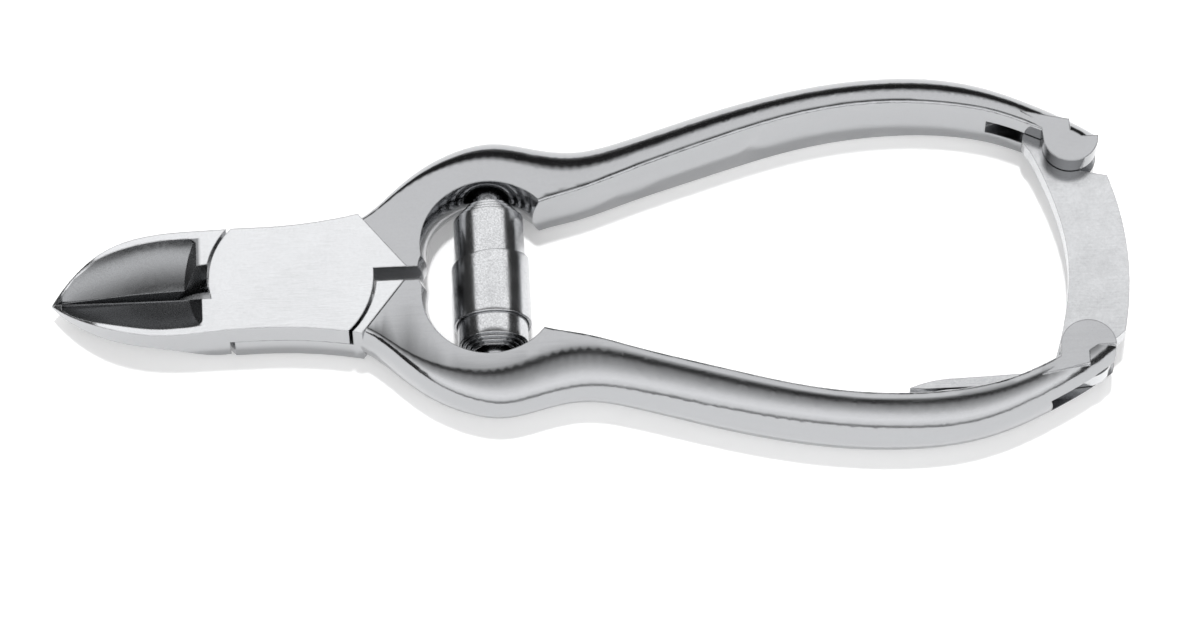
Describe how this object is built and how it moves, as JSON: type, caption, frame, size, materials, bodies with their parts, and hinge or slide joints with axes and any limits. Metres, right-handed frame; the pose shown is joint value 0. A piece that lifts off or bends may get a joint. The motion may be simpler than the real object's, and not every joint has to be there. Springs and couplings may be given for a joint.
{
  "type": "nail nipper",
  "caption": "Hand nipper with lap joint, hollow-ground jaws, barrel spring between ring-shaped bows and a locking lever across the handle ends.",
  "frame": {"origin": "on the surface the tool lies on, under the middle of its length and width", "axes": "+X from the jaws to the handle ends, +Z out of the ground front face of the lap joint"},
  "size_m": [0.14, 0.052, 0.0108],
  "materials": {
    "satin_steel": "satin, finely brushed forging",
    "ground_plate": "flat ground plate",
    "turned_steel": "turned",
    "spring_strip": "rolled bright strip"
  },
  "bodies": {
    "front_half": {"front_half": "satin_steel", "pivot_screw": "turned_steel", "upper_spring_stud": "turned_steel", "lock_catch_pin": "turned_steel", "barrel_spring": "spring_strip"},
    "back_half": {"back_half": "satin_steel", "lower_spring_stud": "turned_steel", "lock_hinge_pin": "turned_steel", "lock_leaf_spring": "spring_strip", "leaf_spring_rivet": "turned_steel"},
    "lock_lever": {"lock_lever": "ground_plate"}
  },
  "joints": [
    {"name": "jaw_pivot", "type": "hinge", "parent": "front_half", "child": "back_half", "pos_m": [-0.0393, 0, 0.0054], "axis": [0, 0, -1], "range_deg": [0, 20], "deforming": ["barrel_spring"]},
    {"name": "lock_hinge", "type": "hinge", "parent": "back_half", "child": "lock_lever", "pos_m": [0.0636, -0.015, 0.0054], "axis": [0, 0, 1], "range_deg": [-4, 2], "deforming": ["lock_leaf_spring"]}
  ]
}
